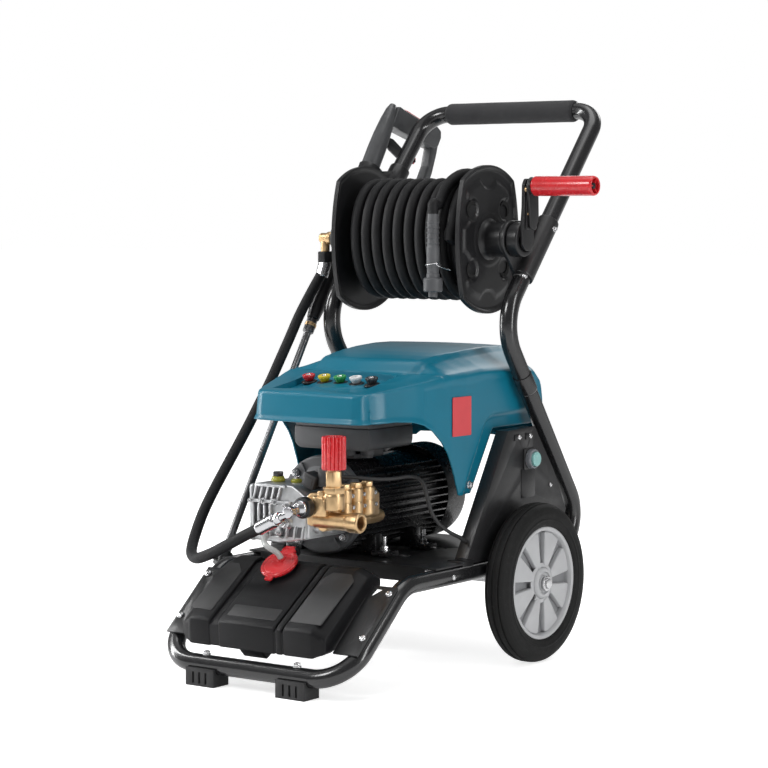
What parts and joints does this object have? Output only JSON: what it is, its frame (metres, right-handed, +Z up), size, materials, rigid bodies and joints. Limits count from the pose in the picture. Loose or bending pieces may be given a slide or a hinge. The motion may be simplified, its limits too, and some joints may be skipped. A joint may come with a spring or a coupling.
{
  "type": "pressure washer",
  "caption": "Electric pressure washer on a two-wheeled tube frame with hood, plunger pump, detergent tank, hose reel with crank, and a clipped-on spray gun.",
  "frame": {"origin": "on the ground under the middle of the machine's bounding box (cords left out)", "axes": "+Z up, -Y is the front where the tank and pump are, +X is the crank side, parallel to the wheel axle"},
  "size_m": [0.554, 0.7989, 0.8915],
  "materials": {
    "tube_black": "semi-gloss powder coat",
    "sheet_black": "satin powder coat",
    "foam_grip": "matte foam",
    "zinc_steel": "bright zinc",
    "rubber_black": "matte",
    "tyre_rubber": "satin",
    "rim_grey": "satin",
    "motor_black": "gloss",
    "box_grey": "satin",
    "winding": "varnished",
    "rotor_steel": "ground",
    "cast_aluminium": "die cast",
    "ceramic": "polished",
    "brass": "satin",
    "yellow_plastic": "gloss",
    "red_plastic": "gloss",
    "black_plastic": "satin",
    "chrome": "polished",
    "teal_plastic": "satin gloss",
    "green_plastic": "gloss",
    "white_plastic": "gloss",
    "clear_tube": "translucent",
    "hose_rubber": "matte",
    "button_teal": "gloss"
  },
  "bodies": {
    "chassis": {"front_frame": "tube_black", "rear_tubes": "tube_black", "handle_tube": "tube_black", "handle_grip": "foam_grip", "frame_brackets": "sheet_black", "frame_bolts": "zinc_steel", "front_feet": "rubber_black", "base_plate": "sheet_black", "side_plate_left": "sheet_black", "side_plate_right": "sheet_black", "axle": "zinc_steel", "motor_housing": "motor_black", "motor_end_bell": "motor_black", "fan_cowl": "sheet_black", "terminal_box": "box_grey", "motor_stator": "winding", "pump_crankcase": "cast_aluminium", "pump_rear_cover": "cast_aluminium", "pump_plungers": "ceramic", "pump_head": "brass", "head_bolts": "zinc_steel", "oil_cap": "yellow_plastic", "unloader_body": "brass", "outlet_collar": "black_plastic", "outlet_elbow": "chrome", "pressure_switch": "box_grey", "hood": "teal_plastic", "nozzle_seats": "rubber_black", "detergent_tank": "black_plastic", "suction_tube": "clear_tube", "reel_brackets": "sheet_black", "hose_swivel": "chrome", "supply_hose": "hose_rubber", "gun_holder": "sheet_black", "switch_base": "box_grey", "motor_cable": "hose_rubber"},
    "wheel_left": {"tyre_left": "tyre_rubber", "rim_left": "rim_grey"},
    "wheel_right": {"tyre_right": "tyre_rubber", "rim_right": "rim_grey"},
    "reel": {"reel_flanges": "black_plastic", "reel_drum": "black_plastic", "reel_hose": "hose_rubber", "hose_end_fitting": "chrome", "crank_arm": "black_plastic"},
    "crank_grip": {"crank_grip": "red_plastic"},
    "rotor": {"motor_rotor": "rotor_steel", "pump_crankshaft": "zinc_steel"},
    "pressure_knob": {"unloader_knob": "red_plastic"},
    "tank_cap": {"tank_cap": "red_plastic"},
    "start_button": {"start_button": "button_teal"},
    "gun": {"gun_body": "black_plastic", "lance_tube": "zinc_steel", "lance_grip": "black_plastic"},
    "trigger": {"gun_trigger": "black_plastic"},
    "tip_red": {"nozzle_red": "red_plastic"},
    "tip_yellow": {"nozzle_yellow": "yellow_plastic"},
    "tip_green": {"nozzle_green": "green_plastic"},
    "tip_white": {"nozzle_white": "white_plastic"},
    "tip_black": {"nozzle_black": "black_plastic"}
  },
  "joints": [
    {"name": "wheel_left_spin", "type": "hinge", "parent": "chassis", "child": "wheel_left", "pos_m": [-0.251, 0.0645, 0.125], "axis": [1, 0, 0], "continuous": true},
    {"name": "wheel_right_spin", "type": "hinge", "parent": "chassis", "child": "wheel_right", "pos_m": [0.171, 0.0645, 0.125], "axis": [1, 0, 0], "continuous": true},
    {"name": "reel_spin", "type": "hinge", "parent": "chassis", "child": "reel", "pos_m": [-0.04, 0.0635, 0.66], "axis": [1, 0, 0], "continuous": true},
    {"name": "crank_grip_spin", "type": "hinge", "parent": "reel", "child": "crank_grip", "pos_m": [0.22, 0.0635, 0.743], "axis": [1, 0, 0], "continuous": true},
    {"name": "rotor_spin", "type": "hinge", "parent": "chassis", "child": "rotor", "pos_m": [-0.085, -0.0355, 0.25], "axis": [0, 1, 0], "continuous": true},
    {"name": "pressure_knob_turn", "type": "hinge", "parent": "chassis", "child": "pressure_knob", "pos_m": [0.034, -0.2775, 0.348], "axis": [0, 0, 1], "range_deg": [-270, 270]},
    {"name": "tank_cap_open", "type": "hinge", "parent": "chassis", "child": "tank_cap", "pos_m": [-0.06, -0.26072, 0.19589], "axis": [-1, 0, 0], "range_deg": [0, 70], "deforming": ["suction_tube"]},
    {"name": "start_button_press", "type": "slide", "parent": "chassis", "child": "start_button", "axis": [-1, 0, 0], "range_m": [0, 0.003], "stiffness_N_per_m": 400, "springref_m": -0.002},
    {"name": "gun_unclip", "type": "slide", "parent": "chassis", "child": "gun", "axis": [-1, 0, 0], "range_m": [0, 0.12]},
    {"name": "trigger_squeeze", "type": "hinge", "parent": "gun", "child": "trigger", "pos_m": [-0.248, 0.24069, 0.82731], "axis": [1, 0, 0], "range_deg": [0, 14], "stiffness_Nm_per_rad": 0.5, "springref_deg": -11.46},
    {"name": "tip_red_pull", "type": "slide", "parent": "chassis", "child": "tip_red", "axis": [0, -0.1898, 0.9818], "range_m": [0, 0.025]},
    {"name": "tip_yellow_pull", "type": "slide", "parent": "chassis", "child": "tip_yellow", "axis": [0, -0.1898, 0.9818], "range_m": [0, 0.025]},
    {"name": "tip_green_pull", "type": "slide", "parent": "chassis", "child": "tip_green", "axis": [0, -0.1898, 0.9818], "range_m": [0, 0.025]},
    {"name": "tip_white_pull", "type": "slide", "parent": "chassis", "child": "tip_white", "axis": [0, -0.1898, 0.9818], "range_m": [0, 0.025]},
    {"name": "tip_black_pull", "type": "slide", "parent": "chassis", "child": "tip_black", "axis": [0, -0.1898, 0.9818], "range_m": [0, 0.025]}
  ]
}
